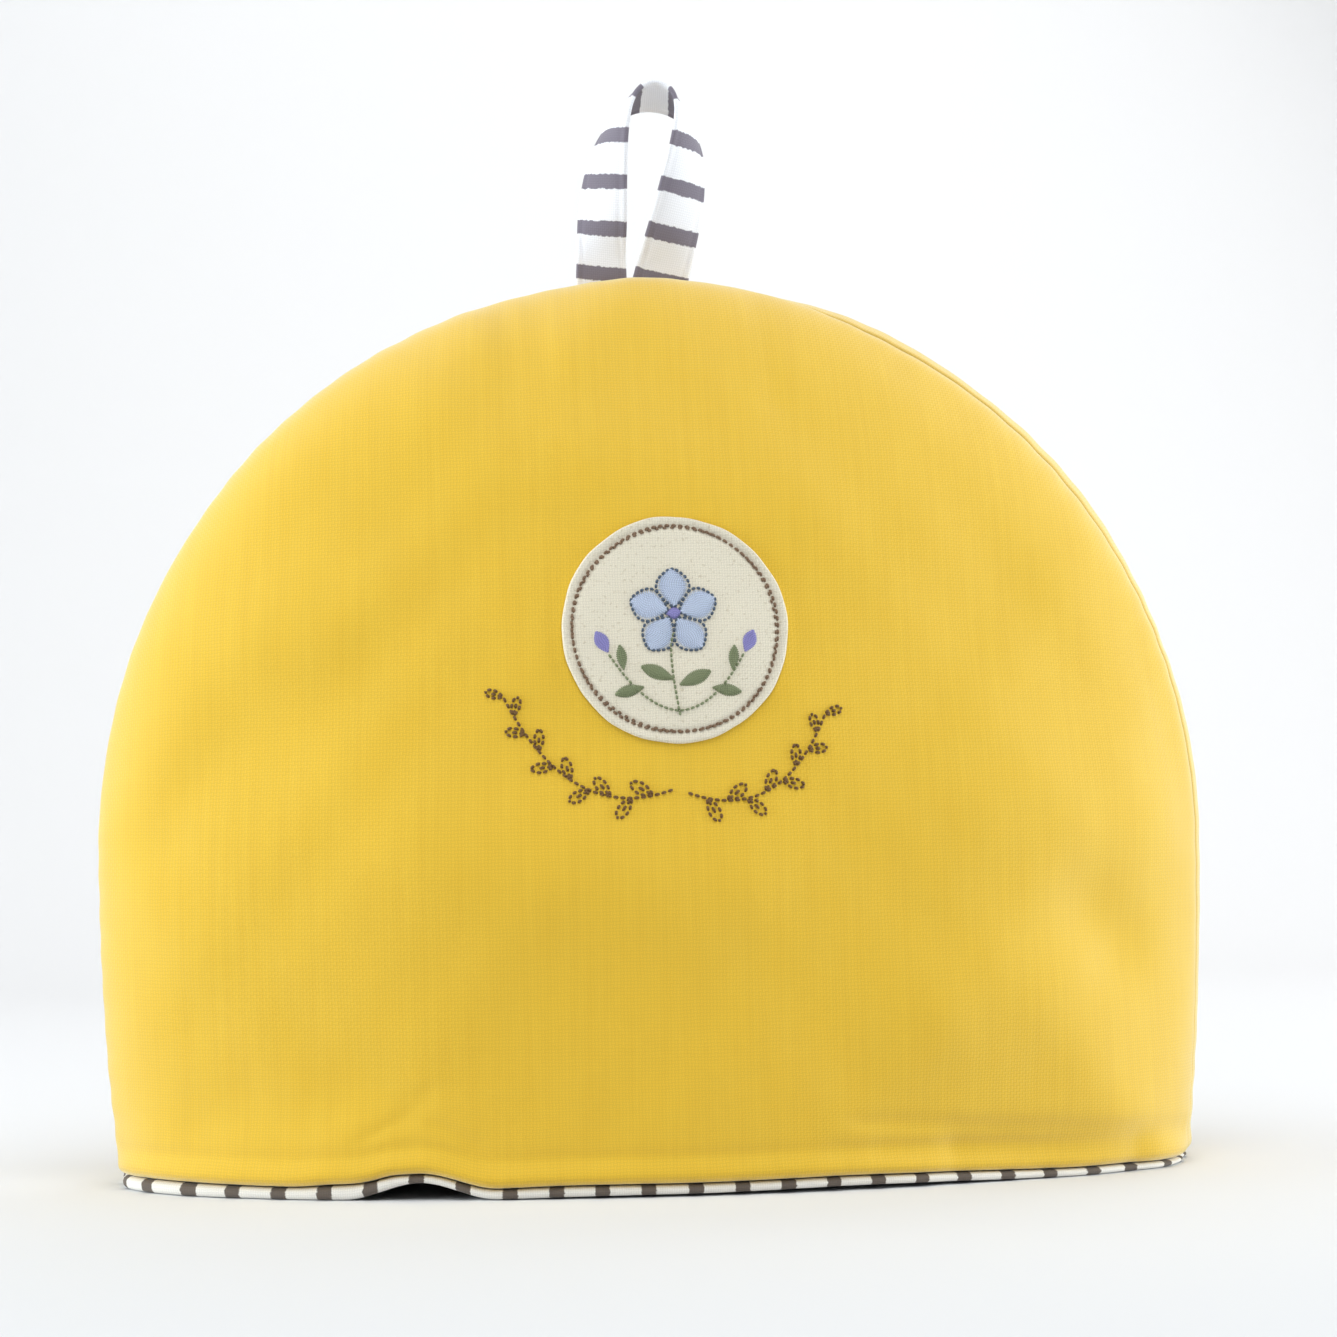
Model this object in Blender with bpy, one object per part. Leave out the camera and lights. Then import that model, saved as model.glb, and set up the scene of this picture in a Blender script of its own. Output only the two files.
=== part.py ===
"""A padded tea cosy that stands on its hem. Metres, +Z up, with the origin on the table under its middle.

Two padded cloth panels meet in a seam that runs over an arch. A striped cotton edge shows below their hem, a
striped strip is folded into a loop at the top of the seam, and a round patch is sewn on the front. The front
looks along -Y, and right and left are those of someone who looks at it.
"""

from collections import namedtuple

import bmesh
import bpy
import numpy as np

# The body's outer form
HALF_WIDTH = 0.170  # where the straight sides turn into the arch
HEM_HALF_WIDTH = 0.1646  # the sides draw in a little towards the hem
HALF_DEPTH = 0.065  # from the middle plane to the front, at the hem
HEIGHT = 0.2734  # from the table to the seam at the top
SPRING_Z = 0.101  # where the straight sides turn into the arch
ARCH_RISE = HEIGHT - SPRING_Z
WALL = 0.006  # cover, wadding and lining together
CLEARANCE = 0.0003  # between neighbouring pieces

# The seam, which a groove follows and which is pulled forward on the right side
SEAM_PULL = 0.010
SEAM_PULL_FADES = (62, 86)  # degrees along the arch from the right
GROOVE_DEPTH = 0.0016
GROOVE_REACH = 0.0035

# The hem: a rolled lower edge, whose height follows HEM_EDGE and eases out over the cloth above it
HEM_ROLL = 0.0025
HEM_FADE = 0.040
HEM_LEVEL = 0.020  # below this the wall's thickness is measured level

# How far the striped edge shows below the hem, from left to right
Edge = namedtuple("Edge", "panel x shows")
HEM_EDGE = (
    Edge("front", -0.158, 0.0044),
    Edge("front", -0.115, 0.0036),
    Edge("front", -0.084, 0.0027),
    Edge("front", -0.058, 0.0032),
    Edge("front", -0.038, 0.0034),
    Edge("front", 0.000, 0.0032),
    Edge("front", 0.085, 0.0030),
    Edge("front", 0.130, 0.0027),
    Edge("front", 0.158, 0.0022),
    Edge("back", -0.158, 0.0044),
    Edge("back", -0.060, 0.0038),
    Edge("back", 0.070, 0.0044),
    Edge("back", 0.158, 0.0022),
)

# Where the hem and its striped edge arch up from the table
Lift = namedtuple("Lift", "panel x half_width height")
LIFTS = (
    Lift("front", -0.077, 0.022, 0.0050),
    Lift("front", -0.020, 0.045, 0.0012),
    Lift("front", 0.050, 0.075, 0.0022),
    Lift("back", 0.062, 0.034, 0.0014),
)

# Soft folds of the padded cloth: ridges rise and troughs sink between two places seen from the front
Fold = namedtuple("Fold", "panel x_from z_from x_to z_to half_width rise")
FOLDS = (
    Fold("front", -0.125, 0.127, -0.052, 0.205, 0.0188, -0.0031),
    Fold("front", -0.102, 0.161, -0.049, 0.209, 0.0132, 0.0020),
    Fold("front", -0.070, 0.099, 0.011, 0.088, 0.0239, 0.0032),
    Fold("front", 0.127, 0.075, 0.132, 0.070, 0.0145, -0.0031),
    Fold("front", 0.082, 0.050, 0.088, 0.051, 0.0212, 0.0035),
    Fold("front", 0.095, 0.112, 0.131, 0.108, 0.0281, 0.0033),
    Fold("front", 0.098, 0.169, 0.174, 0.123, 0.0283, -0.0031),
    Fold("front", -0.126, 0.039, -0.115, 0.042, 0.0242, -0.0027),
    Fold("front", -0.134, 0.147, -0.148, 0.106, 0.0127, -0.0014),
    Fold("front", -0.056, 0.223, 0.037, 0.199, 0.0205, 0.0025),
    Fold("front", 0.081, 0.006, 0.136, 0.004, 0.0070, -0.0032),
    Fold("front", 0.068, 0.036, 0.142, 0.006, 0.0256, 0.0010),
    Fold("front", 0.107, 0.157, 0.143, 0.194, 0.0218, 0.0014),
    Fold("front", 0.133, 0.122, 0.089, 0.204, 0.0130, -0.0008),
    Fold("front", -0.118, 0.210, -0.059, 0.252, 0.0164, 0.0022),
    Fold("front", 0.130, 0.087, 0.126, 0.108, 0.0138, -0.0006),
    Fold("front", -0.138, 0.020, -0.089, 0.029, 0.0143, -0.0017),
    Fold("front", -0.088, 0.176, -0.047, 0.151, 0.0133, 0.0010),
    Fold("front", 0.116, 0.055, 0.130, 0.013, 0.0201, 0.0028),
    Fold("front", -0.028, 0.251, -0.004, 0.271, 0.0155, 0.0024),
    Fold("back", -0.128, 0.070, -0.050, 0.150, 0.020, -0.0020),
    Fold("back", 0.040, 0.196, 0.118, 0.120, 0.017, -0.0022),
    Fold("back", -0.020, 0.034, 0.094, 0.022, 0.010, -0.0014),
)
FOLD_EDGE = 0.016  # folds fade out over this distance from the seam

# The slight unevenness of stuffed cloth all over: (how high, across, up), one soft wave for each panel
Wave = namedtuple("Wave", "panel height across up shift_x shift_z")
WAVES = (
    Wave("front", 0.0008, 0.135, 0.118, 0.9, 0.4),
    Wave("back", 0.0009, 0.150, 0.105, 2.1, 1.3),
)

# The loop is a straight strip rolled on a cone, so that both ends come down side by side in the seam
LOOP_CONE_SINE = 0.456
LOOP_FROM_TIP = 0.0187  # from the cone's tip to the strip's middle line
LOOP_STRIP_WIDTH = 0.0174
LOOP_STRIP_THICKNESS = 0.0016
LOOP_ENDS = (-0.0735, 0.0710)  # along the strip from its middle
LOOP_TIP = (0.0011, -0.0190, 0.3372)
LOOP_LEANS_BACK = 14.0
LOOP_ROLLS_RIGHT = 9.05
LOOP_TURNS_LEFT = 8.0
LOOP_FLATTENS = (0.046, 0.062)  # the ends lie flat in the seam from here on
LOOP_SLOT = (-0.0244, 0.0116)  # the seam is open for the ends between these places
LOOP_SLOT_TAPER = 0.0014

# The round patch
BADGE_X = -0.0005
BADGE_Z = 0.163
BADGE_RADIUS = 0.0332
BADGE_THICKNESS = 0.0012

SHARP_FROM = np.radians(50)

# Small steps of the working-out
MERGE = 0.00001  # points closer than this are one
NEAR_MIDDLE = np.radians(89.99)  # at 90 degrees the rows over the arch meet in one point
TURN_DIFFERENCE = 0.0001
STRIP_DIFFERENCE = 0.00001

# How finely the pieces are divided
TURN_STEP = 7.5  # degrees from the seam round to the middle of a panel
SEAM_TURNS = (2.2, 4.6)  # finer beside the groove
LIFT_TURNS = (56.25, 63.75, 71.25)  # finer at the arched stretch of the hem
SIDE_ROWS = 7
SIDE_ROWS_WIDEN = 1.3  # the rows are closer together near the hem
ARCH_STEPS = 32
SLOT_ROWS_CLEAR = 0.3  # an even row closer than this share of a step to a slot's edge is left out
LOOP_STEPS = (46, 4)
BADGE_STEPS = (4, 36)

# The striped edge's section: how far in from the body's outer face, and its share of the height
EDGE_SECTION = (
    (0.0016, 1.00),
    (0.0009, 0.55),
    (0.0013, 0.18),
    (0.0024, 0.00),
    (0.0048, 0.00),
    (0.0058, 0.25),
    (0.0060, 1.00),
)

# The finishes: colour as red, green and blue in linear light, and roughness
MUSTARD_CLOTH = ((0.76, 0.47, 0.045), 0.85)
STRIPED_COTTON = ((0.80, 0.78, 0.78), 0.85)
CREAM_PATCH = ((0.74, 0.68, 0.55), 0.85)


def ease(value, start, end):
    """0 before start and 1 after end, with a smooth step between them."""
    share = np.clip((value - start) / (end - start), 0, 1)
    return share * share * (3 - 2 * share)


def half_width(level):
    """Half the body's width at a height on its straight sides."""
    below = np.clip(1 - level / SPRING_Z, 0, 1)
    return HALF_WIDTH - (HALF_WIDTH - HEM_HALF_WIDTH) * below**2


def plain_point(along, turn):
    """A point of the smooth outer form.

    along runs from 0 to 1 up the right side, to 2 over the arch and to 3 down the left side. turn is the
    angle round a level section: 0 in the middle plane, 90 degrees at the front's middle, -90 at the back's.
    """
    level = SPRING_Z * np.clip(np.minimum(along, 3 - along), 0, 1)
    angle = np.pi * np.clip(along - 1, 0, 1)
    reach = np.sin(angle) * np.cos(turn)
    side_depth = HALF_DEPTH * np.sqrt(1 - (level / HEIGHT) ** 2)
    arch_share = ARCH_RISE * (HEIGHT + SPRING_Z + ARCH_RISE * reach) / (1 + reach)
    arch_depth = HALF_DEPTH / HEIGHT * np.sqrt(arch_share)
    depth = np.where(level < SPRING_Z, side_depth, arch_depth)
    x = np.cos(angle) * np.cos(turn) * half_width(level)
    return np.stack([x, -depth * np.sin(turn), level + ARCH_RISE * reach], axis=-1)


def across_surface(surface, first, second, step):
    """The unit vector square to surface(first, second), from the differences over a small step."""
    one = surface(first + step, second) - surface(first - step, second)
    two = surface(first, second + step) - surface(first, second - step)
    square = np.cross(one, two)
    return square / np.linalg.norm(square, axis=-1, keepdims=True)


def outward(along, turn):
    """The direction out of the body. It is level at the hem, so that the hem's underside is flat."""
    beside_middle = np.clip(turn, -NEAR_MIDDLE, NEAR_MIDDLE)
    direction = across_surface(plain_point, along, beside_middle, TURN_DIFFERENCE)
    direction[..., 2] *= ease(plain_point(along, turn)[..., 2], 0, HEM_LEVEL)
    return direction / np.linalg.norm(direction, axis=-1, keepdims=True)


def seam_turn(along):
    """The seam's angle round a level section, which the pull on the right side brings forward."""
    degrees = 180 * np.clip(along - 1, 0, 1)
    pull = SEAM_PULL * (1 - ease(degrees, *SEAM_PULL_FADES))
    return np.arcsin(pull / HALF_DEPTH)


def eased_table(x, rows):
    """The value at x of rows (place, value), easing from each row to the next."""
    places, values = (np.array(column) for column in zip(*rows))
    right = np.clip(np.searchsorted(places, x), 1, len(places) - 1)
    share = ease(x, places[right - 1], places[right])
    return values[right - 1] + (values[right] - values[right - 1]) * share


def edge_shows(x, panel):
    """How far the striped edge shows below the hem."""
    return eased_table(x, [(row.x, row.shows) for row in HEM_EDGE if row.panel == panel])


def edge_lift(x, panel):
    """How far the striped edge's underside is off the table."""
    lifts = [row for row in LIFTS if row.panel == panel]
    return sum(row.height * (1 - ease(np.abs(x - row.x), 0, row.half_width)) for row in lifts)


def distance_to_line(x, z, fold):
    """The distance from (x, z) to the line between a fold's two ends."""
    run = np.array([fold.x_to - fold.x_from, fold.z_to - fold.z_from])
    share = ((x - fold.x_from) * run[0] + (z - fold.z_from) * run[1]) / (run @ run)
    share = np.clip(share, 0, 1)
    return np.hypot(x - fold.x_from - share * run[0], z - fold.z_from - share * run[1])


def relief(point, along, turn, panel):
    """How far the cloth stands out from the smooth form: folds, unevenness and the seam's groove."""
    x, z = point[..., 0], point[..., 2]
    from_seam = HALF_DEPTH * np.abs(np.sin(turn) - np.sin(seam_turn(along)))
    out = np.zeros_like(x)
    for fold in FOLDS:
        if fold.panel == panel:
            out += fold.rise * np.exp(-((distance_to_line(x, z, fold) / fold.half_width) ** 2))
    for wave in WAVES:
        if wave.panel == panel:
            across = np.sin(2 * np.pi * x / wave.across + wave.shift_x)
            out += wave.height * across * np.sin(2 * np.pi * z / wave.up + wave.shift_z)
    groove = GROOVE_DEPTH * np.exp(-((from_seam / GROOVE_REACH) ** 2))
    return out * ease(from_seam, 0, FOLD_EDGE) - groove


def cloth_point(along, turn, panel, inset=0.0):
    """A point of the cloth, inset from its outer face."""
    plain = plain_point(along, turn)
    out = relief(plain, along, turn, panel) - inset
    point = plain + outward(along, turn) * out[..., None]
    raised = edge_shows(plain[..., 0], panel) + edge_lift(plain[..., 0], panel)
    point[..., 2] += raised * (1 - ease(plain[..., 2], 0, HEM_FADE))
    return point


def turns(along, panel):
    """The angles of the grid, from the seam to the middle of a panel, for each place along the seam."""
    even = np.arange(0, 90 + TURN_STEP / 2, TURN_STEP)
    share = np.union1d(even, SEAM_TURNS + LIFT_TURNS) / 90
    seam = seam_turn(along)[:, None]
    middle = np.pi / 2 if panel == "front" else -np.pi / 2
    return seam + (middle - seam) * share


def side_levels():
    """The places of the rows up a side, as shares of its height: three on the rolled hem, then SIDE_ROWS."""
    roll = HEM_ROLL * np.array([0, 1 - np.sqrt(0.5), 1])
    share = np.arange(1, SIDE_ROWS + 1) / SIDE_ROWS
    above = HEM_ROLL + (SPRING_Z - HEM_ROLL) * share**SIDE_ROWS_WIDEN
    return np.concatenate([roll, above]) / SPRING_Z


def arch_places():
    """The places of the rows over the arch, from 1 to 2, with rows at the edges of the loop's slot."""
    edges = np.array([LOOP_SLOT[0] - LOOP_SLOT_TAPER, *LOOP_SLOT, LOOP_SLOT[1] + LOOP_SLOT_TAPER])
    slot = 1 + np.arccos(edges / HALF_WIDTH) / np.pi
    even = 1 + np.arange(1, ARCH_STEPS) / ARCH_STEPS
    clear = np.abs(even[:, None] - slot).min(axis=1) > SLOT_ROWS_CLEAR / ARCH_STEPS
    return np.sort(np.concatenate([even[clear], slot]))


def seam_opening(x):
    """Half the gap between the two panels' rims, which is wider where the loop's ends go in."""
    slot = LOOP_STRIP_THICKNESS / 2 + CLEARANCE
    left = ease(x, LOOP_SLOT[0] - LOOP_SLOT_TAPER, LOOP_SLOT[0])
    right = 1 - ease(x, LOOP_SLOT[1], LOOP_SLOT[1] + LOOP_SLOT_TAPER)
    return CLEARANCE / 2 + (slot - CLEARANCE / 2) * left * right


def hem_roll(along):
    """How far the rolled lower edge draws in from the outer face, for each place along the seam."""
    height = SPRING_Z * np.minimum(along, 3 - along)
    below = np.clip(1 - height / HEM_ROLL, 0, 1)
    return HEM_ROLL * (1 - np.sqrt(1 - below**2))


def panel_grids(panel):
    """The outer and the inner face of a panel, as grids of points from the seam to its middle."""
    side = side_levels()
    along = np.concatenate([side, arch_places(), 3 - side[::-1]])
    turn = turns(along, panel)
    place = np.repeat(along[:, None], turn.shape[1], axis=1)
    outer = cloth_point(place, turn, panel, hem_roll(place))
    inner = cloth_point(place, turn, panel, WALL)
    toward = -1 if panel == "front" else 1
    for face in (outer, inner):
        over_arch = (along > 1) & (along < 2)
        opening = np.where(over_arch, seam_opening(face[:, 0, 0]), CLEARANCE / 2)
        face[:, 0, 1] += toward * opening
    return outer, inner


def grid_faces(rows, columns, start):
    """The four-sided faces of a grid whose points are numbered from start, row by row."""
    corner = start + np.arange(rows * columns).reshape(rows, columns)
    sides = corner[:-1, :-1], corner[1:, :-1], corner[1:, 1:], corner[:-1, 1:]
    return np.stack(sides, axis=-1).reshape(-1, 4)


def strip_faces(first, second):
    """The faces between two lines of points that run side by side."""
    return np.stack([first[:-1], first[1:], second[1:], second[:-1]], axis=-1)


def closed_object(name, points, faces, finish):
    """An object from points and faces. Points that coincide become one, and the faces point outwards."""
    mesh = bpy.data.meshes.new(name)
    mesh.from_pydata(points.tolist(), [], faces.tolist())
    shape = bmesh.new()
    shape.from_mesh(mesh)
    bmesh.ops.remove_doubles(shape, verts=shape.verts, dist=MERGE)
    bmesh.ops.recalc_face_normals(shape, faces=shape.faces)
    shape.to_mesh(mesh)
    shape.free()
    mesh.shade_smooth()
    mesh.set_sharp_from_angle(angle=SHARP_FROM)
    mesh.materials.append(finish)
    thing = bpy.data.objects.new(name, mesh)
    bpy.context.scene.collection.objects.link(thing)
    return thing


def cloth_finish(name, colour, roughness):
    """A plain cloth material."""
    finish = bpy.data.materials.new(name)
    finish.use_nodes = True
    shader = finish.node_tree.nodes["Principled BSDF"]
    shader.inputs["Base Color"].default_value = (*colour, 1)
    shader.inputs["Roughness"].default_value = roughness
    shader.inputs["Metallic"].default_value = 0
    return finish


def two_sided_solid(name, outer, inner, rims, finish):
    """A closed solid between two grids of the same size, joined along the lines of points in rims."""
    rows, columns = outer.shape[:2]
    count = rows * columns
    number = np.arange(count).reshape(rows, columns)
    faces = [grid_faces(rows, columns, 0), grid_faces(rows, columns, count)[:, ::-1]]
    faces += [strip_faces(line, line + count) for line in (number[rim] for rim in rims)]
    points = np.concatenate([outer.reshape(-1, 3), inner.reshape(-1, 3)])
    return closed_object(name, points, np.concatenate(faces), finish)


def make_panel(panel, finish):
    """A padded panel, closed along the seam and along the hem on both sides of its middle."""
    outer, inner = panel_grids(panel)
    seam, right_hem, left_hem = np.s_[:, 0], np.s_[0, :], np.s_[-1, :]
    return two_sided_solid(f"{panel}_panel", outer, inner, (seam, right_hem, left_hem), finish)


def edge_quarter(panel, along):
    """The striped edge's section along a quarter of the hem, from the seam to the panel's middle."""
    turn = turns(np.array([along]), panel)[0]
    place = np.full_like(turn, along)
    x = plain_point(place, turn)[:, 0]
    tall = edge_shows(x, panel) - CLEARANCE
    quarter = []
    for inset, share in EDGE_SECTION:
        line = cloth_point(place, turn, panel, inset)
        line[:, 2] = edge_lift(x, panel) + tall * share
        quarter.append(line)
    return np.stack(quarter, axis=1)


def make_hem_band(finish):
    """The striped edge, a closed ring that the cosy stands on."""
    right, left = 0.0, 3.0
    ring = [
        edge_quarter("front", right)[:-1],
        edge_quarter("front", left)[:0:-1],
        edge_quarter("back", left)[:-1],
        edge_quarter("back", right)[:0:-1],
    ]
    ring = np.concatenate(ring)
    ring = np.concatenate([ring, ring[:1]])
    ring = np.concatenate([ring, ring[:, :1]], axis=1)
    faces = grid_faces(*ring.shape[:2], 0)
    return closed_object("hem_band", ring.reshape(-1, 3), faces, finish)


def turned(first, second, degrees):
    """Two coordinates after a turn from the first axis towards the second."""
    angle = np.radians(degrees)
    cosine, sine = np.cos(angle), np.sin(angle)
    return first * cosine - second * sine, first * sine + second * cosine


def loop_point(along, across):
    """A point of the strip's middle layer, rolled on the cone without stretching, then leaned and turned."""
    from_tip = np.hypot(along, across)
    around = np.arctan2(along, across) / LOOP_CONE_SINE
    cone_cosine = np.sqrt(1 - LOOP_CONE_SINE**2)
    x = from_tip * LOOP_CONE_SINE * np.sin(around)
    y = from_tip * LOOP_CONE_SINE * np.cos(around)
    z = -from_tip * cone_cosine
    y, z = turned(y, z, np.degrees(np.arcsin(LOOP_CONE_SINE)) + LOOP_LEANS_BACK)
    x, z = turned(x, z, -LOOP_ROLLS_RIGHT)
    x, y = turned(x, y, -LOOP_TURNS_LEFT)
    y = (y + LOOP_TIP[1]) * (1 - ease(np.abs(along), *LOOP_FLATTENS))
    return np.stack([x + LOOP_TIP[0], y, z + LOOP_TIP[2]], axis=-1)


def make_loop(finish):
    """The folded strip, with its two ends in the seam's slot."""
    along = np.linspace(*LOOP_ENDS, LOOP_STEPS[0] + 1)
    half = LOOP_STRIP_WIDTH / 2
    across = LOOP_FROM_TIP + np.linspace(-half, half, LOOP_STEPS[1] + 1)
    along, across = np.meshgrid(along, across, indexing="ij")
    middle = loop_point(along, across)
    square = across_surface(loop_point, along, across, STRIP_DIFFERENCE)
    half_thick = square * LOOP_STRIP_THICKNESS / 2
    rims = (np.s_[:, 0], np.s_[:, -1], np.s_[0, :], np.s_[-1, :])
    return two_sided_solid("loop", middle + half_thick, middle - half_thick, rims, finish)


def front_place(x, z):
    """The place along the seam and the turn of the front's point that is seen at (x, z), above SPRING_Z."""
    rise = (z - SPRING_Z) / ARCH_RISE
    run = x / HALF_WIDTH
    return 1 + np.arctan2(rise, run) / np.pi, np.arccos(np.hypot(rise, run))


def make_badge(finish):
    """The round patch, bent to the front and lying on it."""
    radius = BADGE_RADIUS * np.arange(1, BADGE_STEPS[0] + 1) / BADGE_STEPS[0]
    angle = 2 * np.pi * np.arange(BADGE_STEPS[1] + 1) / BADGE_STEPS[1]
    radius, angle = np.meshgrid(np.concatenate([[0], radius]), angle, indexing="ij")
    place = front_place(BADGE_X + radius * np.cos(angle), BADGE_Z + radius * np.sin(angle))
    under = cloth_point(*place, "front", -CLEARANCE)
    over = cloth_point(*place, "front", -CLEARANCE - BADGE_THICKNESS)
    return two_sided_solid("badge", over, under, (np.s_[-1, :],), finish)


def main():
    for thing in list(bpy.data.objects):
        bpy.data.objects.remove(thing, do_unlink=True)
    mustard = cloth_finish("mustard_cloth", *MUSTARD_CLOTH)
    striped = cloth_finish("striped_cotton", *STRIPED_COTTON)
    cream = cloth_finish("cream_patch", *CREAM_PATCH)
    make_panel("front", mustard)
    make_panel("back", mustard)
    make_hem_band(striped)
    make_loop(striped)
    make_badge(cream)


main()
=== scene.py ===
"""The looks of a padded tea cosy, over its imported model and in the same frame. Metres, +Z up.

The front looks along -Y. Right and left are those of someone who looks at the front. Each cloth piece
replaces its plain solid and lies on the same folds, worked out from the same named sizes.
"""

from collections import namedtuple

import bmesh
import bpy
import numpy as np
from mathutils import Matrix, Vector


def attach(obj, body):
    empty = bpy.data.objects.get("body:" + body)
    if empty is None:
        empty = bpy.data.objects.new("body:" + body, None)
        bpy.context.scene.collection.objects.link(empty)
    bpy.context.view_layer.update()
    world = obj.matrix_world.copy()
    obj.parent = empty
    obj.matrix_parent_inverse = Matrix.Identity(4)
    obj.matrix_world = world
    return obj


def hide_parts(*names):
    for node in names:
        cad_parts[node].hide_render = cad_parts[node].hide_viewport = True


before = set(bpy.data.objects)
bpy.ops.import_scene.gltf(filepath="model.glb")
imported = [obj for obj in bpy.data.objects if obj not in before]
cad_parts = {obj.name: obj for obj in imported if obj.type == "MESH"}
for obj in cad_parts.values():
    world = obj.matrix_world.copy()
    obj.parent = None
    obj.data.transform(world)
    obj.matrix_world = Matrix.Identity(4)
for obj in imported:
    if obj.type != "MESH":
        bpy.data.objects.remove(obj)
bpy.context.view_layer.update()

MM = 0.001

# The body's outer form, as in the solids
HALF_WIDTH = 0.170
HEM_HALF_WIDTH = 0.1646
HALF_DEPTH = 0.065
HEIGHT = 0.2734
SPRING_Z = 0.101  # where the straight sides turn into the arch
ARCH_RISE = HEIGHT - SPRING_Z
WALL = 0.006
CLEARANCE = 0.0003
SEAM_PULL = 0.010
SEAM_PULL_FADES = (62, 86)  # degrees along the arch from the right
HEM_ROLL = 0.0025
HEM_FADE = 0.040
HEM_LEVEL = 0.020
FOLD_EDGE = 0.016

# The seam's groove: a narrow cut between the two turned edges, in a wide soft dip
GROOVE_CUT = (0.0014, 0.0009)  # depth and reach
GROOVE_DIP = (0.0012, 0.0042)
SEAM_PAINTED_SHADE = 0.0010  # the reach of the painted shade, a dark line in the groove
SEAM_PAINTED_HIGHLIGHT = (0.0032, 0.0024)  # a painted highlight, a pale edge along the back that stands in for light on its turned edge: how far from the seam, and its reach

# How far the striped edge shows below the hem, from left to right. Left of the arch it has the photo's
# taller stretch, which the solids lack.
Edge = namedtuple("Edge", "panel x shows")
HEM_EDGE = (
    Edge("front", -0.158, 0.0044),
    Edge("front", -0.115, 0.0038),
    Edge("front", -0.098, 0.0047),
    Edge("front", -0.088, 0.0040),
    Edge("front", -0.078, 0.0027),
    Edge("front", -0.058, 0.0032),
    Edge("front", -0.038, 0.0034),
    Edge("front", 0.000, 0.0032),
    Edge("front", 0.085, 0.0030),
    Edge("front", 0.130, 0.0027),
    Edge("front", 0.158, 0.0022),
    Edge("back", -0.158, 0.0044),
    Edge("back", -0.060, 0.0038),
    Edge("back", 0.070, 0.0044),
    Edge("back", 0.158, 0.0022),
)

# Where the hem and its striped edge arch up from the table. Right of the middle they arch up to 1 mm less
# than the solids do, because the shadow under the photo's edge is thin.
Lift = namedtuple("Lift", "panel x half_width height")
LIFTS = (
    Lift("front", -0.077, 0.022, 0.0050),
    Lift("front", -0.020, 0.045, 0.0006),
    Lift("front", 0.050, 0.075, 0.0013),
    Lift("back", 0.062, 0.034, 0.0014),
)

# Folds between two places seen from the front: ridges rise and troughs sink. The wide ones are the solids'
# own, and the narrow ones after them are creases that only the cloth's surface has.
Fold = namedtuple("Fold", "panel x_from z_from x_to z_to half_width rise")
FOLDS = (
    Fold("front", -0.125, 0.127, -0.052, 0.205, 0.0188, -0.0031),
    Fold("front", -0.102, 0.161, -0.049, 0.209, 0.0132, 0.0020),
    Fold("front", -0.070, 0.099, 0.011, 0.088, 0.0239, 0.0032),
    Fold("front", 0.127, 0.075, 0.132, 0.070, 0.0145, -0.0031),
    Fold("front", 0.082, 0.050, 0.088, 0.051, 0.0212, 0.0035),
    Fold("front", 0.095, 0.112, 0.131, 0.108, 0.0281, 0.0033),
    Fold("front", 0.098, 0.169, 0.174, 0.123, 0.0283, -0.0031),
    Fold("front", -0.126, 0.039, -0.115, 0.042, 0.0242, -0.0027),
    Fold("front", -0.134, 0.147, -0.148, 0.106, 0.0127, -0.0014),
    Fold("front", -0.056, 0.223, 0.037, 0.199, 0.0205, 0.0025),
    Fold("front", 0.081, 0.006, 0.136, 0.004, 0.0070, -0.0032),
    Fold("front", 0.068, 0.036, 0.142, 0.006, 0.0256, 0.0010),
    Fold("front", 0.107, 0.157, 0.143, 0.194, 0.0218, 0.0014),
    Fold("front", 0.133, 0.122, 0.089, 0.204, 0.0130, -0.0008),
    Fold("front", -0.118, 0.210, -0.059, 0.252, 0.0164, 0.0022),
    Fold("front", 0.130, 0.087, 0.126, 0.108, 0.0138, -0.0006),
    Fold("front", -0.138, 0.020, -0.089, 0.029, 0.0143, -0.0017),
    Fold("front", -0.088, 0.176, -0.047, 0.151, 0.0133, 0.0010),
    Fold("front", 0.116, 0.055, 0.130, 0.013, 0.0201, 0.0028),
    Fold("front", -0.028, 0.251, -0.004, 0.271, 0.0155, 0.0024),
    Fold("back", -0.128, 0.070, -0.050, 0.150, 0.020, -0.0020),
    Fold("back", 0.040, 0.196, 0.118, 0.120, 0.017, -0.0022),
    Fold("back", -0.020, 0.034, 0.094, 0.022, 0.010, -0.0014),
    Fold("front", 0.050, 0.0170, 0.156, 0.0105, 0.0026, -0.0007),
    Fold("front", 0.044, 0.0072, 0.070, 0.0060, 0.0048, -0.0006),
    Fold("front", 0.058, 0.0062, 0.070, 0.0058, 0.0050, -0.0005),
    Fold("front", -0.094, 0.0130, -0.083, 0.0185, 0.0022, -0.0005),
    Fold("front", -0.072, 0.0175, -0.060, 0.0120, 0.0022, -0.0005),
    Fold("front", -0.080, 0.0210, -0.074, 0.0300, 0.0030, -0.0004),
    Fold("front", -0.047, 0.262, -0.044, 0.214, 0.0042, -0.0005),
    Fold("front", -0.037, 0.266, -0.036, 0.224, 0.0036, -0.0004),
    Fold("front", 0.030, 0.266, 0.033, 0.232, 0.0040, -0.0004),
    Fold("back", -0.030, 0.262, -0.034, 0.226, 0.0040, -0.0005),
    Fold("back", 0.022, 0.264, 0.026, 0.230, 0.0040, -0.0004),
)

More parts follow.
